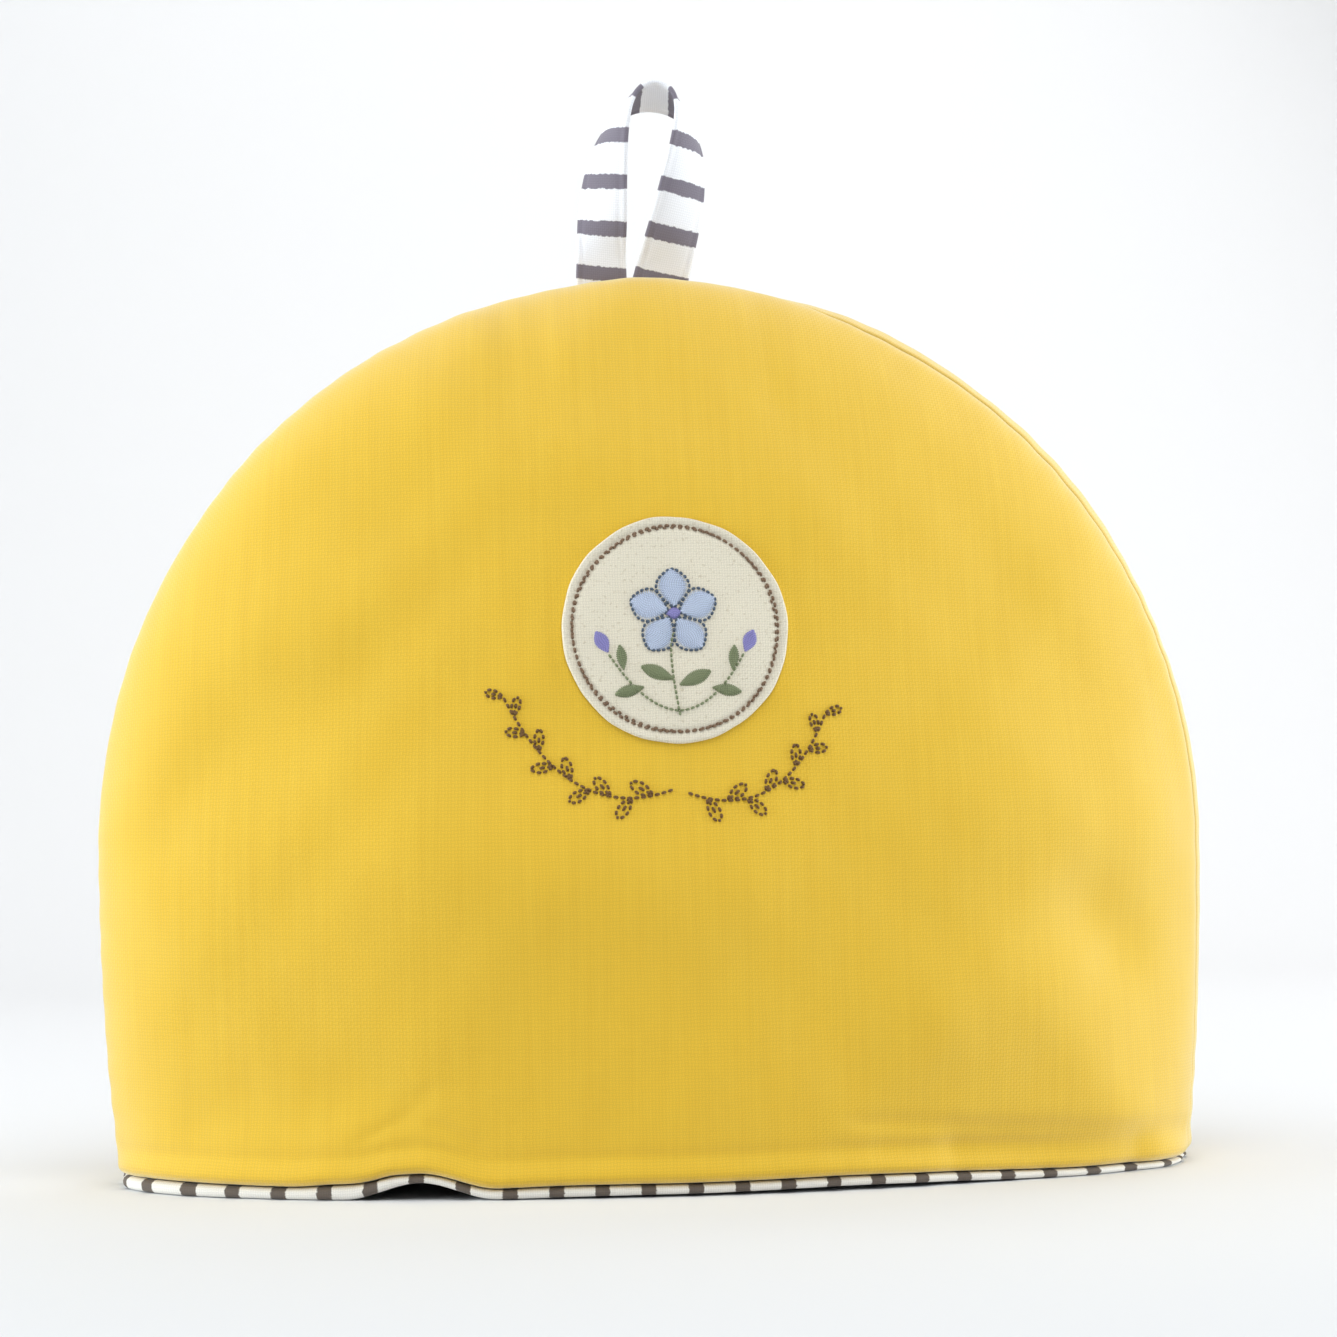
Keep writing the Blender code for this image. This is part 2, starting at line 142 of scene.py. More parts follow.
# Soft waves all over. The first of each panel is the solids' own.
Wave = namedtuple("Wave", "panel height across up shift_x shift_z")
WAVES = (
    Wave("front", 0.0008, 0.135, 0.118, 0.9, 0.4),
    Wave("back", 0.0009, 0.150, 0.105, 2.1, 1.3),
    Wave("front", 0.00022, 0.047, 0.061, 2.0, 0.3),
    Wave("front", 0.00014, 0.029, 0.036, 0.6, 2.2),
    Wave("back", 0.00024, 0.052, 0.043, 1.1, 0.8),
    Wave("back", 0.00014, 0.027, 0.039, 0.2, 1.9),
)

# Small puckers where the seam's thread draws the cloth in
PUCKER_HEIGHT = 0.00009
PUCKER_SPACING = 0.0125
PUCKER_REACH = 0.0085
PUCKER_UNEVEN = (0.9, 0.031, 0.0173)  # the share by which they grow and shrink, and its two lengths
PUCKER_STRAYS = (1.4, 0.027)  # by how many radians they leave their even places, and over what length

# The turned hem: a soft bead along the lower edge, and over it a row of stitches that draws the cloth in
HEM_ROWS = ((0.0011, 0.0026, 0.0030), (-0.0004, 0.0086, 0.0016))  # how far out, how high up, and its reach

# The loop: a straight strip rolled on a cone
LOOP_CONE_SINE = 0.456
LOOP_FROM_TIP = 0.0187
LOOP_STRIP_WIDTH = 0.0174
LOOP_STRIP_THICKNESS = 0.0016
LOOP_ENDS = (-0.0735, 0.0710)
LOOP_TIP = (0.0011, -0.0190, 0.3372)
LOOP_LEANS_BACK = 14.0
LOOP_ROLLS_RIGHT = 9.05
LOOP_TURNS_LEFT = 8.0
LOOP_FLATTENS = (0.046, 0.062)
LOOP_SLOT = (-0.0244, 0.0116)
LOOP_SLOT_TAPER = 0.0014
LOOP_STEPS = (220, 26)
LOOP_EDGE_ROUND = 0.0008
LOOP_EDGE_THIN = 0.04  # the square of the thickness left at the very edge, as a share
LOOP_STITCHES = (0.35, 0.0022, 0.0006)  # the share they press in, how far from the edge, and their reach
LOOP_UNEVEN = (0.10, 0.0047, 3, 0.009)  # its thickness: by what share, over what length, and its slants

# The round patch
PATCH_X = -0.0005
PATCH_Z = 0.163
PATCH_MIDDLE = np.array([PATCH_X, PATCH_Z])
PATCH_RADIUS = 0.0332
PATCH_THICKNESS = 0.0012
PATCH_STEPS = (56, 240)
PATCH_EDGE_ROUND = 0.0007
PATCH_EDGE_THIN = 0.02
PATCH_UNEVEN = ((0.005, 3, 1), (0.003, 8, 0), (0.002, 19, 0))  # its radius: shares, waves round and shifts
PATCH_WAVES = (0.00010, 0.0041, 0.0053)  # its face: how high, and the two lengths
PATCH_PUFF = (0.0004, 0.008)  # how far it puffs out on both sides of the stitched ring, and over what reach
RING_RADIUS = 0.0302  # the stitched ring
RING_SINKS = (0.0005, 0.0011)  # how deep and how wide the stitches press the patch in

# Stitches, in millimetres: the step from one to the next, of which the gap is bare
Stitch = namedtuple("Stitch", "step gap")
PETAL_STITCH = Stitch(1.5, 0.1)
STEM_STITCH = Stitch(1.6, 0.1)
TWIG_STITCH = Stitch(2.0, 0.25)
TWIG_LEAF_STITCH = Stitch(1.9, 0.3)
TWIG_VEIN_STITCH = Stitch(2.2, 0.3)
LEAF_SATIN = 0.55  # the step of the satin stitches that fill a leaf or a petal
BUD_SATIN = 0.50
MIDDLE_SATIN = 0.45
SATIN_FROM_TO = (0.04, 0.92)  # the shares of the leaf's length between which they lie
SATIN_SLANTS = 0.05  # how far ahead their second ends are, as a share of the length

# The ring's rows of stitches, whose size and unevenness are shares of its radius
RingRow = namedtuple("RingRow", "size uneven waves shift stitch")
RING_ROWS = (
    RingRow(1.0, 0.006, 5, 0.0, Stitch(2.0, 0.3)),
    RingRow(0.988, 0.008, 3, -np.pi / 2, Stitch(2.3, 0.9)),
)

# The posy on the patch, in millimetres from the patch's middle
Leaf = namedtuple("Leaf", "base angle length width")
FLOWER = (-0.5, 4.6)
FLOWER_MIDDLE = Leaf((-2.7, 4.6), 0, 4.4, 4.4)
PETALS = (90, 162, 234, 306, 18)  # their angles
PETAL_FROM_MIDDLE = 1.6
PETAL_LENGTH = 11.6
PETAL_WIDTH = 9.9
PATCH_LEAVES = (
    Leaf((-1.0, -15.0), 156, 10.5, 4.9),
    Leaf((0.2, -16.5), 22, 10.5, 4.9),
    Leaf((-9.6, -17.0), 192, 9.0, 4.2),
    Leaf((9.8, -17.2), -10, 9.0, 4.2),
    Leaf((-15.6, -12.0), 96, 7.5, 3.6),
    Leaf((16.0, -12.4), 82, 7.5, 3.6),
)
PATCH_BUDS = (
    Leaf((-20.0, -6.8), 116, 7.0, 4.8),
    Leaf((19.8, -7.0), 64, 7.0, 4.8),
)
PATCH_STEMS = (
    ((-0.5, -1.0), (-1.6, -9.0), (0.4, -25.5)),
    ((0.2, -24.0), (-9.8, -19.4), (-19.8, -7.2)),
    ((0.2, -24.0), (10.2, -19.6), (19.6, -7.4)),
)

# The sprig under the patch: two leafy twigs, in millimetres from the patch's middle
TWIGS = (
    ((-2.0, -46.5), (-29.0, -45.0), (-50.5, -19.0)),
    ((2.0, -47.5), (26.0, -47.0), (43.5, -25.0)),
)
TWIG_LEAF_STEP = 6.2
TWIG_LEAF_LENGTH = 8.0
TWIG_LEAF_WIDTH = 3.4
TWIG_LEAF_ANGLE = 46
TWIG_LEAF_SHRINKS = 0.3  # the share that a leaf at the tip lacks

# The radius of each thread, in millimetres
THREAD_RADIUS = {
    "brown": 0.42,
    "pale_blue": 0.34,
    "slate": 0.40,
    "green": 0.36,
    "violet": 0.38,
    "twigs": 0.44,
}

# A stitch of thread: steps along it and round it, the share of its length before its first step, and, in
# radii, how high it rises and how deep its ends sink
STITCH_STEPS = (7, 6)
STITCH_FROM = 0.02
STITCH_RISES = 1.5
STITCH_SINKS = 0.7

# How finely the cloth is divided
SEAM_COLUMNS = 110
SEAM_COLUMNS_CROWD = 1.15
SIDE_ROWS = 46
SIDE_ROWS_CROWD = 1.25
ROLL_ROWS = 6
ARCH_ROWS = 256

# The striped edge's section: how far in from the body's outer face, and its share of the height
EDGE_SECTION = (
    (0.0016, 1.00),
    (0.0009, 0.55),
    (0.0013, 0.18),
    (0.0024, 0.00),
    (0.0048, 0.00),
    (0.0058, 0.25),
    (0.0060, 1.00),
)

# The striped cotton
STRIPE_PITCH = 0.01374  # 55 stripes go round the hem
STRIPE_WIDTH = 0.0044
STRIPE_BLUR = 0.0002  # half the width over which a stripe fades
STRIPE_WAVERS = 0.00025  # how far its edge wavers
Drift = namedtuple("Drift", "panel x shift")
HEM_STRIPE_DRIFT = (
    Drift("front", -0.158, -0.0020),
    Drift("front", -0.138, 0.0020),
    Drift("front", -0.110, 0.0035),
    Drift("front", -0.050, 0.0035),
    Drift("front", -0.010, 0.0020),
    Drift("front", 0.075, 0.0010),
    Drift("front", 0.110, 0.0021),
    Drift("front", 0.135, 0.0040),
    Drift("front", 0.152, 0.0070),
    Drift("back", -0.158, -0.0020),
    Drift("back", 0.152, 0.0070),
)
LOOP_STRIPE_PITCH = 0.0142
LOOP_STRIPE_SHIFT = -0.0006

# The cloths' patterns. Real threads of 0.35 to 0.5 mm are too fine for the picture, so they are drawn at
# about twice their size.
MUSTARD_THREAD = 0.95 * MM
STRIPED_THREAD = 0.70 * MM
CALICO_THREAD = 0.80 * MM
THREAD_STRAYS = 0.9  # how far a thread wanders, as a share of its width
THREAD_STRAY_SPOTS = 0.11  # how many spots of the noise that moves it there are to a thread
YARN_SPOTS = 0.42 / MM  # spots of noise to the millimetre across the streaks of thicker yarn
YARN_DRAWN_OUT = 0.035  # and the share of that along them
DYE_SPOTS = 0.026 / MM
FUZZ_SPOTS = 1.5 / MM
STRIPE_EDGE_SPOTS = 0.7 / MM
FLECK_SPOTS = 0.9 / MM
NOISE_LOW, NOISE_HIGH = 0.3, 0.7  # Blender's noise is mostly between these
CLOTH_SPECULAR = 0.25  # half of a smooth surface's, because fibres scatter the light
PLY_SCALE = 0.9  # the sewing thread's plies turn by 9 radians to the millimetre
PLY_DULL = 0.72  # the share of the colour's light that it has between its plies

# Small steps of the working-out
MERGE = 0.00001
NEAR_MIDDLE = np.radians(89.99)
TURN_DIFFERENCE = 0.0001
STRIP_DIFFERENCE = 0.00001

# The photograph's camera, fitted to the hem and the outline
CAMERA_AT = (-0.1181, -0.9930, 0.1209)
CAMERA_LOOKS = (0.1218, 0.9920, 0.0326)
CAMERA_ROLL = -0.78  # degrees
CAMERA_LENS = 87.62
SENSOR = 36.0

# Soft lights, in metres and watts
SoftLight = namedtuple("SoftLight", "name place target size watts colour")
LIGHTS = (
    SoftLight("left_strip", (-1.5, -0.2, 0.25), (0, 0, 0.15), 0.8, 17.3, "#F2FBFF"),
    SoftLight("right_strip", (1.5, -0.2, 0.25), (0, 0, 0.15), 0.8, 20.2, "#F2FBFF"),
    SoftLight("left_softbox", (-1.5, 0.25, 0.7), (0, 0, 0.15), 1.2, 7.8, "#F2FBFF"),
    SoftLight("top_softbox", (0.0, -0.8, 1.6), (0, 0, 0.15), 1.4, 20.2, "#FFFFFF"),
    SoftLight("back_softbox", (1.0, 1.1, 1.3), (0, 0, 0.15), 1.0, 5.3, "#FFFFFF"),
    SoftLight("backdrop_softbox", (0.26, 0.70, 1.5), (0.26, 1.8, 0.6), 1.4, 10.6, "#FFF4E8"),
)


def ease(value, start, end):
    """0 before start and 1 after end, with a smooth step, 3s^2 - 2s^3, between them."""
    share = np.clip((value - start) / (end - start), 0, 1)
    return share * share * (3 - 2 * share)


def bell(distance, reach):
    """1 at no distance, falling as the bell curve exp(-(distance/reach)^2)."""
    return np.exp(-((distance / reach) ** 2))


def half_width(level):
    """Half the width at a height on the straight sides: it draws in with the square of the way down."""
    below = np.clip(1 - level / SPRING_Z, 0, 1)
    return HALF_WIDTH - (HALF_WIDTH - HEM_HALF_WIDTH) * below**2


def plain_point(along, turn):
    """A point of the smooth outer form.

    along runs from 0 to 1 up the right side, to 2 over the arch and to 3 down the left side. turn is the
    angle round a level section: 0 in the middle plane, 90 degrees at the front's middle, -90 at the back's.
    Each section is an ellipse whose depth shrinks with height as that of an ellipsoid does.
    """
    level = SPRING_Z * np.clip(np.minimum(along, 3 - along), 0, 1)
    angle = np.pi * np.clip(along - 1, 0, 1)
    reach = np.sin(angle) * np.cos(turn)
    side_depth = HALF_DEPTH * np.sqrt(1 - (level / HEIGHT) ** 2)
    arch_share = ARCH_RISE * (HEIGHT + SPRING_Z + ARCH_RISE * reach) / (1 + reach)
    arch_depth = HALF_DEPTH / HEIGHT * np.sqrt(arch_share)
    depth = np.where(level < SPRING_Z, side_depth, arch_depth)
    x = np.cos(angle) * np.cos(turn) * half_width(level)
    return np.stack([x, -depth * np.sin(turn), level + ARCH_RISE * reach], axis=-1)


def across_surface(surface, first, second, step):
    """The unit vector square to surface(first, second): the cross product of its two small differences."""
    one = surface(first + step, second) - surface(first - step, second)
    two = surface(first, second + step) - surface(first, second - step)
    square = np.cross(one, two)
    return square / np.linalg.norm(square, axis=-1, keepdims=True)


def outward(along, turn):
    """The direction out of the body, which eases to level at the hem."""
    beside_middle = np.clip(turn, -NEAR_MIDDLE, NEAR_MIDDLE)
    direction = across_surface(plain_point, along, beside_middle, TURN_DIFFERENCE)
    direction[..., 2] *= ease(plain_point(along, turn)[..., 2], 0, HEM_LEVEL)
    return direction / np.linalg.norm(direction, axis=-1, keepdims=True)


def seam_turn(along):
    """The seam's angle round a level section: the arc sine of its pull forward over the depth."""
    degrees = 180 * np.clip(along - 1, 0, 1)
    pull = SEAM_PULL * (1 - ease(degrees, *SEAM_PULL_FADES))
    return np.arcsin(pull / HALF_DEPTH)


def seam_run(along):
    """How far along the seam a place is, in metres from the right end of the hem."""
    right, left = np.clip(along, 0, 1), np.clip(along - 2, 0, 1)
    return SPRING_Z * (right + left) + np.pi * HALF_WIDTH * np.clip(along - 1, 0, 1)


def eased_table(x, rows):
    """The value at x of rows (place, value), easing from each row to the next."""
    places, values = (np.array(column) for column in zip(*rows))
    right = np.clip(np.searchsorted(places, x), 1, len(places) - 1)
    share = ease(x, places[right - 1], places[right])
    return values[right - 1] + (values[right] - values[right - 1]) * share


def edge_shows(x, panel):
    """How far the striped edge shows below the hem."""
    return eased_table(x, [(row.x, row.shows) for row in HEM_EDGE if row.panel == panel])


def edge_lift(x, panel):
    """How far the striped edge's underside is off the table."""
    lifts = [row for row in LIFTS if row.panel == panel]
    return sum(row.height * (1 - ease(np.abs(x - row.x), 0, row.half_width)) for row in lifts)


def distance_to_line(x, z, fold):
    """The distance from (x, z) to the line between a fold's two ends."""
    run = np.array([fold.x_to - fold.x_from, fold.z_to - fold.z_from])
    share = ((x - fold.x_from) * run[0] + (z - fold.z_from) * run[1]) / (run @ run)
    share = np.clip(share, 0, 1)
    return np.hypot(x - fold.x_from - share * run[0], z - fold.z_from - share * run[1])


def relief(point, along, turn, panel):
    """How far the cloth stands out from the smooth form.

    The sum of the folds, each a bell across its line, of the waves, each a product of two sines, and of the
    puckers, a sine along the seam, less the seam's groove. All but the groove fade out at the seam.
    """
    x, z = point[..., 0], point[..., 2]
    from_seam = HALF_DEPTH * np.abs(np.sin(turn) - np.sin(seam_turn(along)))
    out = np.zeros_like(x)
    for fold in FOLDS:
        if fold.panel == panel:
            out += fold.rise * bell(distance_to_line(x, z, fold), fold.half_width)
    for wave in WAVES:
        if wave.panel == panel:
            across = np.sin(2 * np.pi * x / wave.across + wave.shift_x)
            out += wave.height * across * np.sin(2 * np.pi * z / wave.up + wave.shift_z)
    out *= ease(from_seam, 0, FOLD_EDGE)
    run = seam_run(along)
    share, long, short = PUCKER_UNEVEN
    height = PUCKER_HEIGHT * (1 + share * np.sin(run / long) * np.sin(run / short + 1))
    radians, length = PUCKER_STRAYS
    pucker = height * np.sin(2 * np.pi * run / PUCKER_SPACING + radians * np.sin(run / length))
    out += pucker * bell(from_seam - PUCKER_REACH / 2, PUCKER_REACH)
    for rise, level, reach in HEM_ROWS:
        out += rise * bell(z - level, reach) * ease(from_seam, 0, FOLD_EDGE)
    for depth, reach in (GROOVE_CUT, GROOVE_DIP):
        out -= depth * bell(from_seam, reach)
    return out


def cloth_point(along, turn, panel, inset=0.0):
    """A point of the cloth, inset from its outer face: the smooth form, moved out by the relief and up by
    the hem's height, which eases out over the cloth above it."""
    plain = plain_point(along, turn)
    out = relief(plain, along, turn, panel) - inset
    point = plain + outward(along, turn) * out[..., None]
    raised = edge_shows(plain[..., 0], panel) + edge_lift(plain[..., 0], panel)
    point[..., 2] += raised * (1 - ease(plain[..., 2], 0, HEM_FADE))
    return point


def turns(along, panel):
    """The angles of the grid for each place along the seam: from the seam to the middle of the panel,
    closer together at the seam, as a power of the share of the way."""
    share = (np.arange(SEAM_COLUMNS + 1) / SEAM_COLUMNS) ** SEAM_COLUMNS_CROWD
    seam = seam_turn(along)[:, None]
    middle = np.pi / 2 if panel == "front" else -np.pi / 2
    return seam + (middle - seam) * share


def seam_places():
    """The places of the grid's rows along the seam: round the rolled hem, up one side, over the arch and
    down."""
    roll = HEM_ROLL * (1 - np.cos(np.linspace(0, np.pi / 2, ROLL_ROWS)))
    share = (np.arange(1, SIDE_ROWS + 1) / SIDE_ROWS) ** SIDE_ROWS_CROWD
    side = np.concatenate([roll, HEM_ROLL + (SPRING_Z - HEM_ROLL) * share]) / SPRING_Z
    arch = 1 + np.arange(1, ARCH_ROWS) / ARCH_ROWS
    return np.concatenate([side, arch, 3 - side[::-1]])


def seam_opening(x):
    """Half the gap between the two panels' rims, which is wider where the loop's ends go in."""
    slot = LOOP_STRIP_THICKNESS / 2 + CLEARANCE
    left = ease(x, LOOP_SLOT[0] - LOOP_SLOT_TAPER, LOOP_SLOT[0])
    right = 1 - ease(x, LOOP_SLOT[1], LOOP_SLOT[1] + LOOP_SLOT_TAPER)
    return CLEARANCE / 2 + (slot - CLEARANCE / 2) * left * right


def hem_roll(along):
    """How far the rolled lower edge draws in from the outer face: a quarter circle."""
    height = SPRING_Z * np.minimum(along, 3 - along)
    below = np.clip(1 - height / HEM_ROLL, 0, 1)
    return HEM_ROLL * (1 - np.sqrt(1 - below**2))


def grid_faces(rows, columns, start):
    """The four-sided faces of a grid whose points are numbered from start, row by row."""
    corner = start + np.arange(rows * columns).reshape(rows, columns)
    sides = corner[:-1, :-1], corner[1:, :-1], corner[1:, 1:], corner[:-1, 1:]
    return np.stack(sides, axis=-1).reshape(-1, 4)


def strip_faces(first, second):
    """The faces between two lines of points that run side by side."""
    return np.stack([first[:-1], first[1:], second[1:], second[:-1]], axis=-1)


def make_piece(name, points, faces, flat, finishes, finish_of_face=None, shade=None):
    """A piece from points, faces and each point's place on the flat cloth, which becomes its UV map.
    shade, two more values a point, becomes a second one. Points that coincide become one, and the faces
    point outwards."""
    mesh = bpy.data.meshes.new(name)
    mesh.from_pydata(points.tolist(), [], faces.tolist())
    corner = np.empty(len(mesh.loops), dtype=np.int32)
    mesh.loops.foreach_get("vertex_index", corner)
    for layer, pairs in (("flat_cloth", flat), ("seam_painted_light", shade)):
        if pairs is not None:
            mesh.uv_layers.new(name=layer).data.foreach_set("uv", pairs[corner].astype(np.float32).ravel())
    if finish_of_face is not None:
        mesh.polygons.foreach_set("material_index", finish_of_face.astype(np.int32))
    shape = bmesh.new()
    shape.from_mesh(mesh)
    bmesh.ops.remove_doubles(shape, verts=shape.verts, dist=MERGE)
    bmesh.ops.recalc_face_normals(shape, faces=shape.faces)
    shape.to_mesh(mesh)
    shape.free()
    mesh.shade_smooth()
    for finish in finishes:
        mesh.materials.append(finish)
    piece = bpy.data.objects.new(name, mesh)
    bpy.context.scene.collection.objects.link(piece)
    return piece


def two_sided_piece(name, outer, inner, rims, flat, finishes, shade=None):
    """A closed piece between two grids of the same size, joined along the lines of points in rims. The
    inner face takes the last finish, and has no shade."""
    rows, columns = outer.shape[:2]
    count = rows * columns
    number = np.arange(count).reshape(rows, columns)
    outer_faces = grid_faces(rows, columns, 0)
    inner_faces = grid_faces(rows, columns, count)[:, ::-1]
    rim_faces = [strip_faces(line, line + count) for line in (number[rim] for rim in rims)]
    faces = np.concatenate([outer_faces, inner_faces, *rim_faces])
    finish_of_face = np.zeros(len(faces), dtype=int)
    finish_of_face[len(outer_faces) : len(outer_faces) + len(inner_faces)] = len(finishes) - 1
    points = np.concatenate([outer.reshape(-1, 3), inner.reshape(-1, 3)])
    flat = np.tile(flat.reshape(-1, 2), (2, 1))
    if shade is not None:
        shade = np.concatenate([shade.reshape(-1, 2), np.zeros((count, 2))])
    return make_piece(name, points, faces, flat, finishes, finish_of_face, shade)


def flat_place(along, turn):
    """Each grid point's place on the flat cut cloth: the distance round the body from the panel's middle,
    laid off in the direction in which the row leaves the middle."""
    plain = plain_point(along, turn)
    steps = np.linalg.norm(np.diff(plain, axis=1), axis=-1)
    out = np.cumsum(steps[:, ::-1], axis=1)[:, ::-1]
    out = np.concatenate([out, np.zeros((len(out), 1))], axis=1)
    level = SPRING_Z * np.clip(np.minimum(along, 3 - along), 0, 1)
    angle = np.pi * np.clip(along - 1, 0, 1)
    return np.stack([out * np.cos(angle), level + out * np.sin(angle)], axis=-1)


def seam_painted_light(along, turn, panel):
    """Two shares for the cover's finish, each a bell over the distance from the seam: that of the painted
    shade, a dark line in the groove, and that of the painted highlight, a pale edge which only the back
    has."""
    from_seam = HALF_DEPTH * np.abs(np.sin(turn) - np.sin(seam_turn(along)))
    highlight = bell(from_seam - SEAM_PAINTED_HIGHLIGHT[0], SEAM_PAINTED_HIGHLIGHT[1]) * (panel == "back")
    return np.stack([bell(from_seam, SEAM_PAINTED_SHADE), highlight], axis=-1)


def make_panel(panel, finishes):
    """A padded panel: its outer face in the cover's cloth, its inner face in the striped cotton."""
    along = seam_places()
    turn = turns(along, panel)
    place = np.repeat(along[:, None], turn.shape[1], axis=1)
    outer = cloth_point(place, turn, panel, hem_roll(place))
    inner = cloth_point(place, turn, panel, WALL)
    toward = -1 if panel == "front" else 1
    over_arch = (along > 1) & (along < 2)
    for face in (outer, inner):
        opening = np.where(over_arch, seam_opening(face[:, 0, 0]), CLEARANCE / 2)
        face[:, 0, 1] += toward * opening
    rims = (np.s_[:, 0], np.s_[0, :], np.s_[-1, :])  # the seam, and the hem's right and left halves
    flat, shade = flat_place(place, turn), seam_painted_light(place, turn, panel)
    return two_sided_piece(f"{panel}_cloth", outer, inner, rims, flat, finishes, shade)


def stripe_drift(x, panel):
    """How far the hem's stripes have slipped to the right of their even places."""
    return eased_table(x, [(row.x, row.shift) for row in HEM_STRIPE_DRIFT if row.panel == panel])


def edge_quarter(panel, along):
    """The striped edge's section along a quarter of the hem, from the seam to the panel's middle."""
    turn = turns(np.array([along]), panel)[0]
    place = np.full_like(turn, along)
    x = plain_point(place, turn)[:, 0]
    tall = edge_shows(x, panel) - CLEARANCE
    quarter = []
    for inset, share in EDGE_SECTION:
        line = cloth_point(place, turn, panel, inset)
        line[:, 2] = edge_lift(x, panel) + tall * share
        quarter.append(line)
    return np.stack(quarter, axis=1)


def make_hem_edge(finishes):
    """The striped edge, a closed ring that the cosy stands on: its section carried round the hem."""
    right, left = 0.0, 3.0
    ring = [
        edge_quarter("back", right)[:0:-1],
        edge_quarter("front", right)[:-1],
        edge_quarter("front", left)[:0:-1],
        edge_quarter("back", left),
    ]
    front_middle = sum(len(part) for part in ring[:2])
    ring = np.concatenate(ring)
    ring = np.concatenate([ring, ring[:, :1]], axis=1)
    run = np.concatenate([[0], np.cumsum(np.linalg.norm(np.diff(ring[:, 1], axis=0), axis=-1))])
    x, back = ring[:, 1, 0], ring[:, 1, 1] > 0
    run = run[front_middle] - run - np.where(back, stripe_drift(x, "back"), stripe_drift(x, "front"))
    round_section = np.linalg.norm(np.diff(ring, axis=1), axis=-1).mean(axis=0)
    height = np.concatenate([[0], np.cumsum(round_section)])
    flat = np.stack(np.meshgrid(run, height, indexing="ij"), axis=-1)
    faces = grid_faces(*ring.shape[:2], 0)
    piece = make_piece("hem_edge", ring.reshape(-1, 3), faces, flat.reshape(-1, 2), finishes)
    rounded = piece.modifiers.new("rounded", "SUBSURF")
    rounded.levels = rounded.render_levels = 1
    return piece


def turned(first, second, degrees):
    """Two coordinates after a turn from the first axis towards the second."""
    angle = np.radians(degrees)
    cosine, sine = np.cos(angle), np.sin(angle)
    return first * cosine - second * sine, first * sine + second * cosine


def loop_point(along, across):
    """A point of the strip's middle layer: its polar place about the cone's tip, wrapped round the cone
    without stretching, then leaned and turned."""
    from_tip = np.hypot(along, across)
    around = np.arctan2(along, across) / LOOP_CONE_SINE
    cone_cosine = np.sqrt(1 - LOOP_CONE_SINE**2)
    x = from_tip * LOOP_CONE_SINE * np.sin(around)
    y = from_tip * LOOP_CONE_SINE * np.cos(around)
    z = -from_tip * cone_cosine
    y, z = turned(y, z, np.degrees(np.arcsin(LOOP_CONE_SINE)) + LOOP_LEANS_BACK)
    x, z = turned(x, z, -LOOP_ROLLS_RIGHT)
    x, y = turned(x, y, -LOOP_TURNS_LEFT)
    y = (y + LOOP_TIP[1]) * (1 - ease(np.abs(along), *LOOP_FLATTENS))
    return np.stack([x + LOOP_TIP[0], y, z + LOOP_TIP[2]], axis=-1)


def rounded_edge(from_edge, reach, least):
    """The share of a cloth's thickness near its edge: a quarter circle over the reach, but its square is at
    least the least."""
    return np.sqrt(np.clip(1 - (1 - np.clip(from_edge / reach, 0, 1)) ** 2, least, 1))


def make_loop(finishes):
    """The folded strip. Its thickness is that of two layers, rounded off at the two long edges and
    pressed in along a row of stitches beside each."""
    half = LOOP_STRIP_WIDTH / 2
    edge = np.sin(np.linspace(-np.pi / 2, np.pi / 2, LOOP_STEPS[1] + 1))
    along = np.linspace(*LOOP_ENDS, LOOP_STEPS[0] + 1)
    along, edge = np.meshgrid(along, edge, indexing="ij")
    across = LOOP_FROM_TIP + half * edge
    middle = loop_point(along, across)
    square = across_surface(loop_point, along, across, STRIP_DIFFERENCE)
    from_edge = half * (1 - np.abs(edge))
    depth, place, reach = LOOP_STITCHES
    pressed = 1 - depth * bell(from_edge - place, reach)
    share, length, slant, drift = LOOP_UNEVEN
    soft = 1 + share * np.sin(along / length) * np.sin(edge * slant + along / drift)
    rounded = rounded_edge(from_edge, LOOP_EDGE_ROUND, LOOP_EDGE_THIN)
    half_thick = square * (LOOP_STRIP_THICKNESS / 2 * rounded * pressed * soft)[..., None]
    rims = (np.s_[:, 0], np.s_[:, -1], np.s_[0, :], np.s_[-1, :])
    stretch = STRIPE_PITCH / LOOP_STRIPE_PITCH
    flat = np.stack([(along - LOOP_STRIPE_SHIFT) * stretch + STRIPE_PITCH / 2, across], axis=-1)
    return two_sided_piece("loop_strip", middle + half_thick, middle - half_thick, rims, flat, finishes)


def front_place(x, z):
    """The place along the seam and the turn of the front's point that is seen at (x, z), above SPRING_Z."""
    rise = (z - SPRING_Z) / ARCH_RISE
    run = x / HALF_WIDTH
    return 1 + np.arctan2(rise, run) / np.pi, np.arccos(np.hypot(rise, run))


def on_front(x, z, out):
    """A point out from the front's cloth at (x, z)."""
    return cloth_point(*front_place(x, z), "front", -out)


def patch_edge(angle):
    """The patch's radius in a direction: a circle, uneven by a few sines round it."""
    uneven = sum(share * np.sin(waves * angle + shift) for share, waves, shift in PATCH_UNEVEN)
    return PATCH_RADIUS * (1 + uneven)


